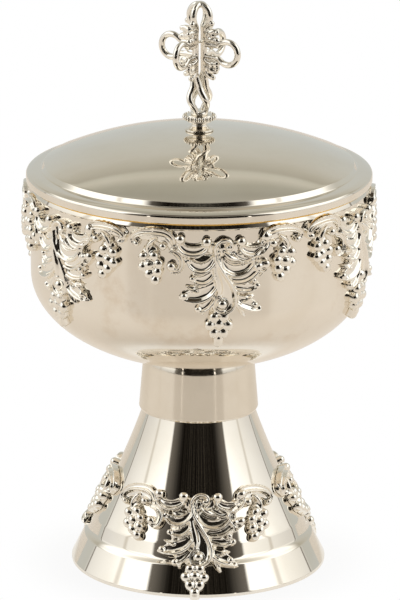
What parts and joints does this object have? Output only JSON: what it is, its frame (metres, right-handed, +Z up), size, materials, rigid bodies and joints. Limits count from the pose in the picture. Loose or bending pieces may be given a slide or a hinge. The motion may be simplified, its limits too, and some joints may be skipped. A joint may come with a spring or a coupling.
{
  "type": "ciborium",
  "caption": "Footed silver cup with a gilt inside, cast vine ornaments and a domed lift-off lid that carries an openwork cross.",
  "frame": {"origin": "on the floor under the middle of the foot", "axes": "+Z up along the cup's axis, -Y towards the front casting, +X to the right seen from the front"},
  "size_m": [0.1324, 0.1322, 0.2151],
  "materials": {
    "polished_silver": "mirror-polished silver plate, slightly warm",
    "satin_silver": "turned silver plate with fine upright polishing lines",
    "cast_silver": "bright cast silver plate, dark in its hollows",
    "gilt": "polished gilding",
    "steel": "plain turned steel"
  },
  "bodies": {
    "vessel": {"foot_cone": "polished_silver", "foot_edge_ring": "polished_silver", "cup_shell": "polished_silver", "stem_collar": "satin_silver", "cup_casting_1": "cast_silver", "cup_casting_2": "cast_silver", "cup_casting_3": "cast_silver", "cup_casting_4": "cast_silver", "cup_casting_5": "cast_silver", "cup_casting_6": "cast_silver", "foot_casting_1": "cast_silver", "foot_casting_2": "cast_silver", "foot_casting_3": "cast_silver", "cup_liner": "gilt", "tie_stud": "steel", "foot_washer": "steel", "foot_nut": "steel"},
    "lid": {"lid_dome": "polished_silver", "lid_centring_ring": "polished_silver", "finial_spool": "cast_silver", "finial_beaded_ring": "cast_silver", "finial_cross": "cast_silver", "finial_stud": "steel", "finial_washer": "steel", "finial_nut": "steel"}
  },
  "joints": [
    {"name": "lid_lift", "type": "slide", "parent": "vessel", "child": "lid", "axis": [0, 0, 1], "range_m": [0, 0.08]}
  ]
}
